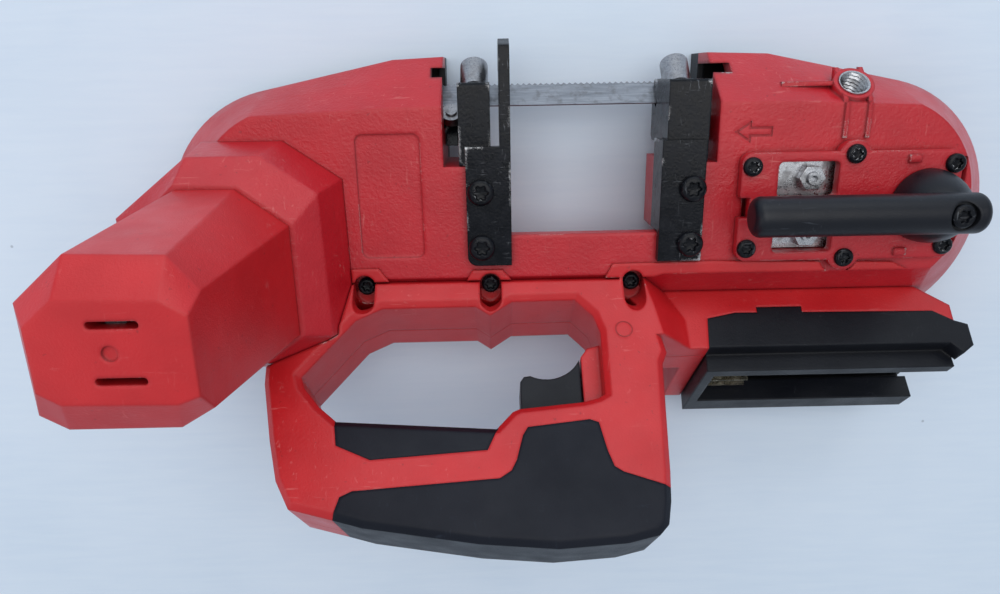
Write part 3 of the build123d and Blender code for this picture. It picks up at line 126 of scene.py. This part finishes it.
class Graph:
    """A material's node tree, with a short call for each kind of node that the finishes share."""

    def __init__(self, name, roughness=0.5, metallic=0.0):
        self.material = bpy.data.materials.new(name)
        self.material.use_nodes = True
        self.tree = self.material.node_tree
        self.shader = self.tree.nodes["Principled BSDF"]
        self.shader.inputs["Roughness"].default_value = roughness
        self.shader.inputs["Metallic"].default_value = metallic
        self.place = self.add("ShaderNodeTexCoord").outputs["Object"]

    def add(self, kind, **settings):
        node = self.tree.nodes.new(kind)
        for key, value in settings.items():
            setattr(node, key, value)
        return node

    def feed(self, socket, value):
        """Links a socket, or sets its value."""
        if isinstance(value, bpy.types.NodeSocket):
            self.tree.links.new(value, socket)
        elif isinstance(value, tuple) and len(value) == 3 and socket.type == "RGBA":
            socket.default_value = (*value, 1)
        else:
            socket.default_value = value

    def stretched(self, x, y, z):
        """The object's coordinates, scaled along each axis."""
        node = self.add("ShaderNodeMapping")
        self.feed(node.inputs["Vector"], self.place)
        node.inputs["Scale"].default_value = (x, y, z)
        return node.outputs[0]

    def noise(self, size, detail=2.0, roughness=0.5, distortion=0.0, place=None):
        """Smooth noise whose grains are about size metres across."""
        node = self.add("ShaderNodeTexNoise")
        self.feed(node.inputs["Vector"], place or self.place)
        node.inputs["Scale"].default_value = 1 / size
        node.inputs["Detail"].default_value = detail
        node.inputs["Roughness"].default_value = roughness
        node.inputs["Distortion"].default_value = distortion
        return node.outputs["Fac"]

    def cells(self, size, feature="F1"):
        """Distance to the nearest of many points that are about size metres apart."""
        node = self.add("ShaderNodeTexVoronoi", feature=feature)
        self.feed(node.inputs["Vector"], self.place)
        node.inputs["Scale"].default_value = 1 / size
        return node.outputs["Distance"]

    def stepped(self, value, low, high, from_value=0.0, to_value=1.0):
        """A value carried from the range low..high to another range, and held at its ends."""
        node = self.add("ShaderNodeMapRange", clamp=True)
        self.feed(node.inputs["Value"], value)
        ends = {"From Min": low, "From Max": high, "To Min": from_value, "To Max": to_value}
        for name, number in ends.items():
            node.inputs[name].default_value = number
        return node.outputs["Result"]

    def sums(self, operation, a, b):
        """One operation of arithmetic on two values."""
        node = self.add("ShaderNodeMath", operation=operation)
        self.feed(node.inputs[0], a)
        self.feed(node.inputs[1], b)
        return node.outputs[0]

    def mixed(self, share, a, b):
        """One colour turning into another."""
        node = self.add("ShaderNodeMix", data_type="RGBA")
        self.feed(node.inputs["Factor"], share)
        self.feed(node.inputs[6], a)
        self.feed(node.inputs[7], b)
        return node.outputs[2]

    def near_edge(self, reach):
        """0 on open faces, rising to 1 on sharp outer edges."""
        node = self.add("ShaderNodeAmbientOcclusion", inside=True, samples=EDGE_SAMPLES, only_local=True)
        node.inputs["Distance"].default_value = reach
        return self.stepped(node.outputs["AO"], 0.35, 0.75, 1.0, 0.0)

    def corner_shade_and_dirt(self, reach):
        """0 on open faces, rising to 1 in deep, occluded corners: the mask for painted shade there, which also
        stands for dirt that stays in them.
        """
        node = self.add("ShaderNodeAmbientOcclusion", samples=EDGE_SAMPLES)
        node.inputs["Distance"].default_value = reach
        return self.stepped(node.outputs["AO"], 0.35, 0.85, 1.0, 0.0)

    def rounded(self, radius):
        """The surface's normal, with every corner within the radius turned smoothly."""
        node = self.add("ShaderNodeBevel", samples=EDGE_SAMPLES)
        node.inputs["Radius"].default_value = radius
        return node.outputs["Normal"]

    def bumped(self, height, strength, distance, under=None):
        """The normal of a surface raised by height, on top of another normal if there is one."""
        node = self.add("ShaderNodeBump")
        self.feed(node.inputs["Height"], height)
        node.inputs["Strength"].default_value = strength
        node.inputs["Distance"].default_value = distance
        if under is not None:
            self.feed(node.inputs["Normal"], under)
        return node.outputs["Normal"]

    def finished(self, colour, roughness, normal, metallic=None):
        """Feeds the shader and gives the material."""
        self.feed(self.shader.inputs["Base Color"], colour)
        self.feed(self.shader.inputs["Roughness"], roughness)
        self.feed(self.shader.inputs["Normal"], normal)
        if metallic is not None:
            self.feed(self.shader.inputs["Metallic"], metallic)
        return self.material


def scuffs(graph, size, share):
    """Thin crossing scratches and rubs, gathered in patches."""
    low, high = 0.66 - share, 0.72 - share
    along = graph.stepped(graph.noise(size, 3, 0.6, 0.6, graph.stretched(0.12, 1, 1)), low, high)
    over = graph.stepped(graph.noise(size, 3, 0.6, 0.6, graph.stretched(1, 0.15, 0.7)), low, high)
    patch = graph.stepped(graph.noise(size * 14, 2), 0.48, 0.62)
    return graph.sums("MULTIPLY", graph.sums("MAXIMUM", along, over), patch)


def moulded(name, colour, grain, depth, roughness, worn, dirt_and_shade, corner, coat=0.0, specular=0.5):
    """Moulded plastic or enamel: fine pressed grain, slow colour drift, rubbed marks, dirt specks, and corners
    darkened with painted shade and dirt.

    grain is the grain's size and depth its strength; worn is the colour of marks; the next colour goes on the dirt
    specks, and into the corners as painted shade with dirt;
    corner is the radius that sharp corners are shaded with.
    """
    graph = Graph(name, roughness)
    graph.shader.inputs["Coat Weight"].default_value = coat
    graph.shader.inputs["Coat Roughness"].default_value = 0.35
    graph.shader.inputs["Specular IOR Level"].default_value = specular
    drift = graph.noise(0.03, 3, 0.6)
    deeper = tuple(0.90 * channel for channel in colour)
    paler = tuple(min(1.04 * channel + 0.003, 1) for channel in colour)
    base = graph.mixed(graph.stepped(drift, 0.35, 0.65), deeper, paler)
    marks = scuffs(graph, 0.0016, 0.02)
    base = graph.mixed(graph.sums("MULTIPLY", marks, 0.35), base, worn)
    specks = graph.stepped(graph.noise(0.0022, 2, 0.5), 0.70, 0.76)
    base = graph.mixed(graph.sums("MULTIPLY", specks, 0.35), base, dirt_and_shade)
    # painted shade: deep, occluded corners are darkened toward the dirt colour, standing for shadow there as well
    # as for dirt
    base = graph.mixed(graph.sums("MULTIPLY", graph.corner_shade_and_dirt(0.0035), 0.45), base, dirt_and_shade)
    fine = graph.noise(grain, 2, 0.55)
    coarse = graph.cells(grain * 2.2, "SMOOTH_F1")
    height = graph.sums("ADD", fine, graph.sums("MULTIPLY", coarse, 0.6))
    shine = graph.stepped(graph.noise(0.012, 3), 0.3, 0.7, roughness - 0.05, roughness + 0.07)
    shine = graph.sums("ADD", shine, graph.sums("MULTIPLY", marks, 0.10))
    return graph, base, shine, graph.bumped(height, depth, grain, graph.rounded(corner))


def chipped(graph, base, reach, amount, under):
    """Paint knocked off along the outer edges, down to a colour under it. Gives the colour and the mask."""
    edge = graph.near_edge(reach)
    ragged = graph.noise(0.0018, 4, 0.65)
    long_patch = graph.noise(0.022, 2)
    where = graph.sums("MULTIPLY", edge, graph.stepped(long_patch, 0.50, 0.60))
    chips = graph.stepped(graph.sums("MULTIPLY", where, ragged), 0.60 - amount, 0.66 - amount)
    return graph.mixed(chips, base, under), chips


def red_casting():
    """The cast housing's red enamel, worn down to metal in places."""
    graph, base, shine, normal = moulded(
        "red_enamel", (0.52, 0.0085, 0.018), grain=0.0008, depth=0.24, roughness=0.36,
        worn=(0.70, 0.22, 0.20), dirt_and_shade=(0.10, 0.004, 0.006), corner=0.0024, coat=0.10
    )
    base = chipped(graph, base, 0.0014, 0.20, (0.66, 0.60, 0.58))[0]
    return graph.finished(base, shine, normal)


def red_plastic():
    """The handle's red plastic, paler where its edges are rubbed."""
    graph, base, shine, normal = moulded(
        "red_nylon", (0.57, 0.0095, 0.014), grain=0.00042, depth=0.20, roughness=0.40,
        worn=(0.72, 0.18, 0.17), dirt_and_shade=(0.11, 0.004, 0.006), corner=0.0018, coat=0.05
    )
    base = chipped(graph, base, 0.0010, 0.12, (0.72, 0.42, 0.40))[0]
    return graph.finished(base, shine, normal)


def soft_grip():
    graph, base, shine, normal = moulded(
        "soft_touch", (0.0045, 0.0062, 0.0130), grain=0.00035, depth=0.20, roughness=0.46,
        worn=(0.03, 0.04, 0.06), dirt_and_shade=(0.012, 0.013, 0.016), corner=0.0020, specular=0.22
    )
    return graph.finished(base, shine, normal)


def black_plastic():
    graph, base, shine, normal = moulded(
        "black_nylon", (0.0045, 0.0058, 0.0100), grain=0.0005, depth=0.18, roughness=0.40,
        worn=(0.05, 0.055, 0.065), dirt_and_shade=(0.020, 0.019, 0.018), corner=0.0012, specular=0.25
    )
    return graph.finished(base, shine, normal)


def lever_coat():
    graph, base, shine, normal = moulded(
        "lever_coat", (0.0045, 0.0058, 0.0105), grain=0.0004, depth=0.16, roughness=0.36,
        worn=(0.08, 0.09, 0.11), dirt_and_shade=(0.016, 0.016, 0.016), corner=0.0012, coat=0.05, specular=0.30
    )
    return graph.finished(base, shine, normal)


def painted_steel(name, chips_amount, reach, gloss):
    """Black paint on steel: glossy, scratched, with bright metal where the edges are knocked."""
    graph = Graph(name, gloss)
    graph.shader.inputs["Specular IOR Level"].default_value = 0.18
    graph.shader.inputs["Coat Weight"].default_value = 0.05
    graph.shader.inputs["Coat Roughness"].default_value = 0.12
    drift = graph.noise(0.006, 4, 0.65)
    base = graph.mixed(graph.stepped(drift, 0.35, 0.7), (0.0030, 0.0036, 0.0056), (0.0066, 0.0078, 0.0116))
    marks = scuffs(graph, 0.0009, 0.03)
    base = graph.mixed(graph.sums("MULTIPLY", marks, 0.45), base, (0.20, 0.21, 0.23))
    base, chips = chipped(graph, base, reach, chips_amount, (0.60, 0.60, 0.61))
    shine = graph.stepped(drift, 0.3, 0.7, gloss - 0.04, gloss + 0.14)
    shine = graph.sums("ADD", shine, graph.sums("MULTIPLY", marks, 0.15))
    height = graph.sums("ADD", graph.noise(0.0011, 3), graph.sums("MULTIPLY", chips, -0.8))
    normal = graph.bumped(height, 0.25, 0.0004, graph.rounded(0.0008))
    return graph.finished(base, shine, normal, graph.sums("MULTIPLY", chips, 0.7))


METAL_GRIME = (0.03, 0.026, 0.022)


def bare_metal(name, colour, roughness, stretch=(1, 1, 1), dirty=0.45, streak=0.0006):
    """Turned, ground or plated metal: fine tool lines along one way, with dull and dirty patches."""
    graph = Graph(name, roughness, 1.0)
    lines = graph.noise(streak, 3, 0.6, 0.0, graph.stretched(*stretch))
    patch = graph.noise(0.004, 4, 0.6)
    darker = tuple(0.62 * channel for channel in colour)
    base = graph.mixed(graph.stepped(lines, 0.3, 0.7), darker, colour)
    dull = graph.stepped(patch, 0.50, 0.68)
    base = graph.mixed(graph.sums("MULTIPLY", dull, dirty), base, METAL_GRIME)
    shine = graph.stepped(lines, 0.3, 0.7, roughness - 0.06, roughness + 0.12)
    shine = graph.sums("ADD", shine, graph.sums("MULTIPLY", dull, 0.2))
    metallic = graph.stepped(dull, 0.0, 1.0, 1.0, 1 - dirty)
    return graph.finished(base, shine, graph.bumped(lines, 0.18, 0.0002), metallic)


def tyre_rubber():
    graph, base, shine, normal = moulded(
        "tyre_rubber", (0.018, 0.018, 0.019), grain=0.0006, depth=0.3, roughness=0.72,
        worn=(0.07, 0.07, 0.07), dirt_and_shade=(0.05, 0.045, 0.04), corner=0.0005
    )
    return graph.finished(base, shine, normal)


def circuit_board():
    """Green board with tracks between its cells."""
    graph = Graph("circuit_board", 0.35)
    tracks = graph.stepped(graph.cells(0.003, "DISTANCE_TO_EDGE"), 0.04, 0.07)
    base = graph.mixed(tracks, (0.05, 0.16, 0.07), (0.02, 0.10, 0.04))
    return graph.finished(base, graph.stepped(tracks, 0, 1, 0.3, 0.45), graph.bumped(tracks, 0.2, 0.0001))


def floor_finish():
    """A pale painted board, with faint brush lines and a few specks."""
    graph = Graph("pale_board", 0.55)
    cloud = graph.noise(0.12, 3, 0.55)
    brushed = graph.noise(0.004, 3, 0.6, 0.2, graph.stretched(0.10, 1, 1))
    base = graph.mixed(graph.stepped(cloud, 0.3, 0.7), (0.66, 0.76, 0.88), (0.72, 0.81, 0.92))
    base = graph.mixed(graph.stepped(brushed, 0.35, 0.65, 0.0, 0.25), base, (0.78, 0.86, 0.94))
    specks = graph.stepped(graph.cells(0.045), 0.012, 0.020, 0.5, 0.0)
    base = graph.mixed(specks, base, (0.25, 0.28, 0.33))
    shine = graph.stepped(brushed, 0.3, 0.7, 0.50, 0.62)
    return graph.finished(base, shine, graph.bumped(brushed, 0.12, 0.0006))


finishes = {
    "red_casting": red_casting(),
    "red_plastic": red_plastic(),
    "soft_grip": soft_grip(),
    "black_plastic": black_plastic(),
    "black_steel": painted_steel("black_paint", 0.24, 0.0012, 0.16),
    "steel": bare_metal("steel", (0.44, 0.44, 0.46), 0.30, (1, 1, 0.15), dirty=0.25),
    "plated_steel": bare_metal("zinc_plate", (0.60, 0.61, 0.64), 0.24, dirty=0.35),
    "blade_steel": bare_metal("blade_steel", (0.36, 0.38, 0.42), 0.34, (0.06, 1, 1), dirty=0.30, streak=0.0009),
    "tyre_rubber": tyre_rubber(),
    "wheel_alloy": bare_metal("wheel_alloy", (0.55, 0.55, 0.57), 0.36, dirty=0.30),
    "gear_steel": bare_metal("gear_steel", (0.34, 0.33, 0.32), 0.32, dirty=0.55),
    "motor_iron": bare_metal("motor_iron", (0.22, 0.22, 0.23), 0.45, (1, 1, 6)),
    "contact_brass": bare_metal("contact_plate", (0.76, 0.70, 0.56), 0.26, dirty=0.20),
    "circuit": circuit_board(),
}
lever_finish = lever_coat()
chipped_steel = painted_steel("chipped_paint", 0.30, 0.0026, 0.18)
screw_steel = painted_steel("screw_oxide", 0.34, 0.0010, 0.24)
slot_of = {part["node"]: part["material_slot"] for part in frame["record"]["subparts"]}

floor_mesh = bpy.data.meshes.new("floor")
floor_mesh.from_pydata([(-4, -4, 0), (4, -4, 0), (4, 4, 0), (-4, 4, 0)], [], [(0, 1, 2, 3)])
floor = bpy.data.objects.new("floor", floor_mesh)
floor.location.z = -0.0002
scene.collection.objects.link(floor)
floor_mesh.materials.append(floor_finish())


# ---------------------------------------------------------------- CAD nodes: finish and softened edges
WELD_GAP = 1e-6
FLAT_ANGLE = radians(0.6)
SHARP_ANGLE = radians(28)
BEVEL_SEGMENTS = 3


def soften(node, width):
    """Rounds the sharp edges of a CAD node with modifiers, and leaves its mesh as it is."""
    piece = frame["nodes"][node]
    weld = piece.modifiers.new("weld", "WELD")
    weld.merge_threshold = WELD_GAP
    flat = piece.modifiers.new("flat", "DECIMATE")
    flat.decimate_type = "DISSOLVE"
    flat.angle_limit = FLAT_ANGLE
    bevel = piece.modifiers.new("bevel", "BEVEL")
    bevel.width = width * MM
    bevel.segments = BEVEL_SEGMENTS
    bevel.limit_method = "ANGLE"
    bevel.angle_limit = SHARP_ANGLE
    bevel.use_clamp_overlap = True
    bevel.miter_outer = "MITER_ARC"
    normals = piece.modifiers.new("normals", "WEIGHTED_NORMAL")
    normals.keep_sharp = False


for name, piece in frame["nodes"].items():
    piece.data.materials.clear()
    piece.data.materials.append(finishes[slot_of[name]])
for name in ("work_stop", "right_guide_bracket", "left_guide_block", "right_guide_block"):
    frame["nodes"][name].data.materials[0] = chipped_steel
frame["nodes"]["tension_lever"].data.materials[0] = lever_finish

# The motor housing is left out: a bevel there tears the faces between its vent slots.
EDGE_WIDTHS = {
    "front_housing": 1.6, "gearbox_base": 1.0, "gearbox_cover": 1.4, "back_cover": 1.4,
    "handle_shell_near": 1.1, "handle_shell_far": 1.2, "tension_cover": 0.9, "work_stop": 0.6,
    "right_guide_bracket": 0.7, "left_guide_block": 0.8, "right_guide_block": 0.8, "battery_rail": 0.7,
    "trigger": 1.2, "upper_grip": 1.2, "lower_grip": 1.4, "tracking_nuts": 0.3,
}
for name, width in EDGE_WIDTHS.items():
    soften(name, width)


# ---------------------------------------------------------------- pieces with finer shapes than the CAD's
SMOOTH_ANGLE = radians(35)


def piece_from(name, points, faces, finish, node, body):
    """A mesh piece that stands for a CAD node and rides on its body."""
    mesh = bpy.data.meshes.new(name)
    mesh.from_pydata(points, [], faces)
    mesh.validate()
    tidy = bmesh.new()
    tidy.from_mesh(mesh)
    bmesh.ops.recalc_face_normals(tidy, faces=tidy.faces)
    tidy.to_mesh(mesh)
    tidy.free()
    mesh.materials.append(finish)
    piece = bpy.data.objects.new(name, mesh)
    scene.collection.objects.link(piece)
    for polygon in mesh.polygons:
        polygon.use_smooth = True
    mesh.set_sharp_from_angle(angle=SMOOTH_ANGLE)
    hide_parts(node)
    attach(piece, body)
    return piece


def strips(count, rings, start=0):
    """Faces between neighbouring rings of count points each."""
    faces = []
    for ring in range(rings - 1):
        for index in range(count):
            after = (index + 1) % count
            low = start + ring * count
            faces.append((low + index, low + after, low + count + after, low + count + index))
    return faces


RING = 72
LOBES = 6
LOBE_DEPTH = 0.17


def screw_points(centre, head, rise, shank, depth):
    """Rings of one upright screw: shank, crowned head, and a six-lobed drive recess in it.

    Each row of the profile is a radius, a height over the head's seat, and 1 where the ring is lobed.
    """
    profile = (
        (shank, -depth, 0), (shank, -0.2, 0), (head, 0, 0), (head, 0.50 * rise, 0),
        (0.96 * head, 0.72 * rise, 0), (0.86 * head, 0.90 * rise, 0), (0.74 * head, rise, 0),
        (0.54 * head, rise, 1), (0.50 * head, 0.92 * rise, 1), (0.48 * head, 0.35 * rise, 1),
        (0.16 * head, 0.28 * rise, 0),
    )
    points = []
    for radius, height, lobed in profile:
        for index in range(RING):
            turn = TAU * index / RING
            reach = radius * (1 + LOBE_DEPTH * lobed * cos(LOBES * turn))
            along = centre[0] + reach * cos(turn)
            across = centre[1] + reach * sin(turn)
            points.append(at(along, across, centre[2] + height))
    return points, len(profile)


def add_screws(name, node, body, places, height, head, rise, shank, depth):
    """Equal screws: height is the heads' seat, head and shank are radii, rise and depth are lengths."""
    points = []
    faces = []
    for along, across in places:
        start = len(points)
        ring_points, rings = screw_points((along, across, height), head, rise, shank, depth)
        points += ring_points
        faces += strips(RING, rings, start)
        faces.append(tuple(range(start, start + RING)))
        faces.append(tuple(range(start + (rings - 1) * RING, start + rings * RING)))
    piece_from(name, points, faces, screw_steel, node, body)


TENSION_ACROSS = -1.5
cover_places = [(along, TENSION_ACROSS + side * 17) for along in (67.0, 149.5) for side in (-1, 1)]
cover_places += [(108.5, TENSION_ACROSS + side * 21.5) for side in (-1, 1)]
guide_places = [(along, across) for along in (-43.4, 43.4) for across in (7.0, -16.0)]
handle_places = [(along, -34.2) for along in (-94.0, -40.2, 20.9)]
lever_places = [(140.0, TENSION_ACROSS)]
add_screws(
    "guide_screw_heads", "guide_screws", "frame", guide_places,
    height=54, head=5.4, rise=3.2, shank=2.6, depth=17
)
add_screws(
    "cover_screw_heads", "tension_cover_screws", "frame", cover_places,
    height=55, head=3.9, rise=2.0, shank=1.8, depth=14
)
add_screws(
    "lever_bolt_head", "lever_bolt", "lever", lever_places,
    height=79, head=4.6, rise=2.6, shank=2.6, depth=14.8
)
add_screws(
    "handle_screw_heads", "handle_screws", "frame", handle_places,
    height=44, head=3.9, rise=3.4, shank=2.1, depth=10.5
)


def add_thread():
    """The side handle's insert: a wound wire thread inside a plain sleeve. It leans back 45 degrees."""
    middle = at(109.5, 44.4, 41.4)
    sleeve, thread_low, thread_depth = 6.28, 5.15, 0.85
    axis = Vector((0, HALF, HALF))
    side = Vector((0, -HALF, HALF))
    around = Vector((1, 0, 0))
    pitch, low, high, steps = 1.75, -8.5, 4.5, 104
    rows = []
    for step in range(steps + 1):
        rows.append((low + (high - low) * step / steps, True))
    rows += [(high, False), (low, False)]
    points = []
    for length, threaded in rows:
        for index in range(RING):
            turn = TAU * index / RING
            wave = (length / pitch + index / RING) % 1.0
            radius = thread_low + thread_depth * abs(2 * wave - 1) if threaded else sleeve
            reach = around * cos(turn) + side * sin(turn)
            points.append(middle + (axis * length + reach * radius) * MM)
    faces = strips(RING, len(rows))
    last = (len(rows) - 1) * RING
    for index in range(RING):
        after = (index + 1) % RING
        faces.append((last + index, last + after, after, index))
    finish = finishes["plated_steel"]
    piece_from("handle_insert_thread", points, faces, finish, "side_handle_insert", "frame")


def add_blade():
    """The toothed band: round both wheels, turned 45 degrees between the guides."""
    wheel, band, half_width, half_thick = 120.75, 40.3, 6.35, 0.3
    height, twisted_across, straight = 21.0, 44.4, 58.0
    tooth_pitch, tooth_height, per_tooth = 2.54, 1.15, 5
    arc = pi * band
    length = 4 * wheel + 2 * arc
    teeth = round(length / tooth_pitch)
    count = teeth * per_tooth
    points = []
    for step in range(count):
        run = length * step / count
        twist = 0.0
        if run < 2 * wheel:
            along = wheel - run
            share = min(max((wheel - abs(along)) / (wheel - straight), 0), 1)
            share = share * share * (3 - 2 * share)
            across = band + (twisted_across - band) * share
            twist = radians(45) * share
            outward = Vector((0, cos(twist), sin(twist)))
        elif run < 2 * wheel + arc:
            turn = pi / 2 + (run - 2 * wheel) / band
            outward = Vector((cos(turn), sin(turn), 0))
            along, across = -wheel + band * cos(turn), band * sin(turn)
        elif run < 4 * wheel + arc:
            along, across = -wheel + run - 2 * wheel - arc, -band
            outward = Vector((0, -1, 0))
        else:
            turn = -pi / 2 + (run - 4 * wheel - arc) / band
            outward = Vector((cos(turn), sin(turn), 0))
            along, across = wheel + band * cos(turn), band * sin(turn)
        back = Vector((0, -sin(twist), cos(twist)))
        tooth = (step % per_tooth) / per_tooth
        toothed = tooth_height * (1 - abs(2 * tooth - 1) ** 1.4) - half_width
        middle = at(along, across, height)
        for out, wide in ((1, half_width), (-1, half_width), (-1, toothed), (1, toothed)):
            points.append(middle + (outward * (out * half_thick) + back * wide) * MM)
    faces = strips(4, count)
    last = (count - 1) * 4
    for index in range(4):
        after = (index + 1) % 4
        faces.append((last + index, last + after, after, index))
    piece_from("toothed_band", points, faces, finishes["blade_steel"], "saw_blade", "frame")


add_thread()
add_blade()
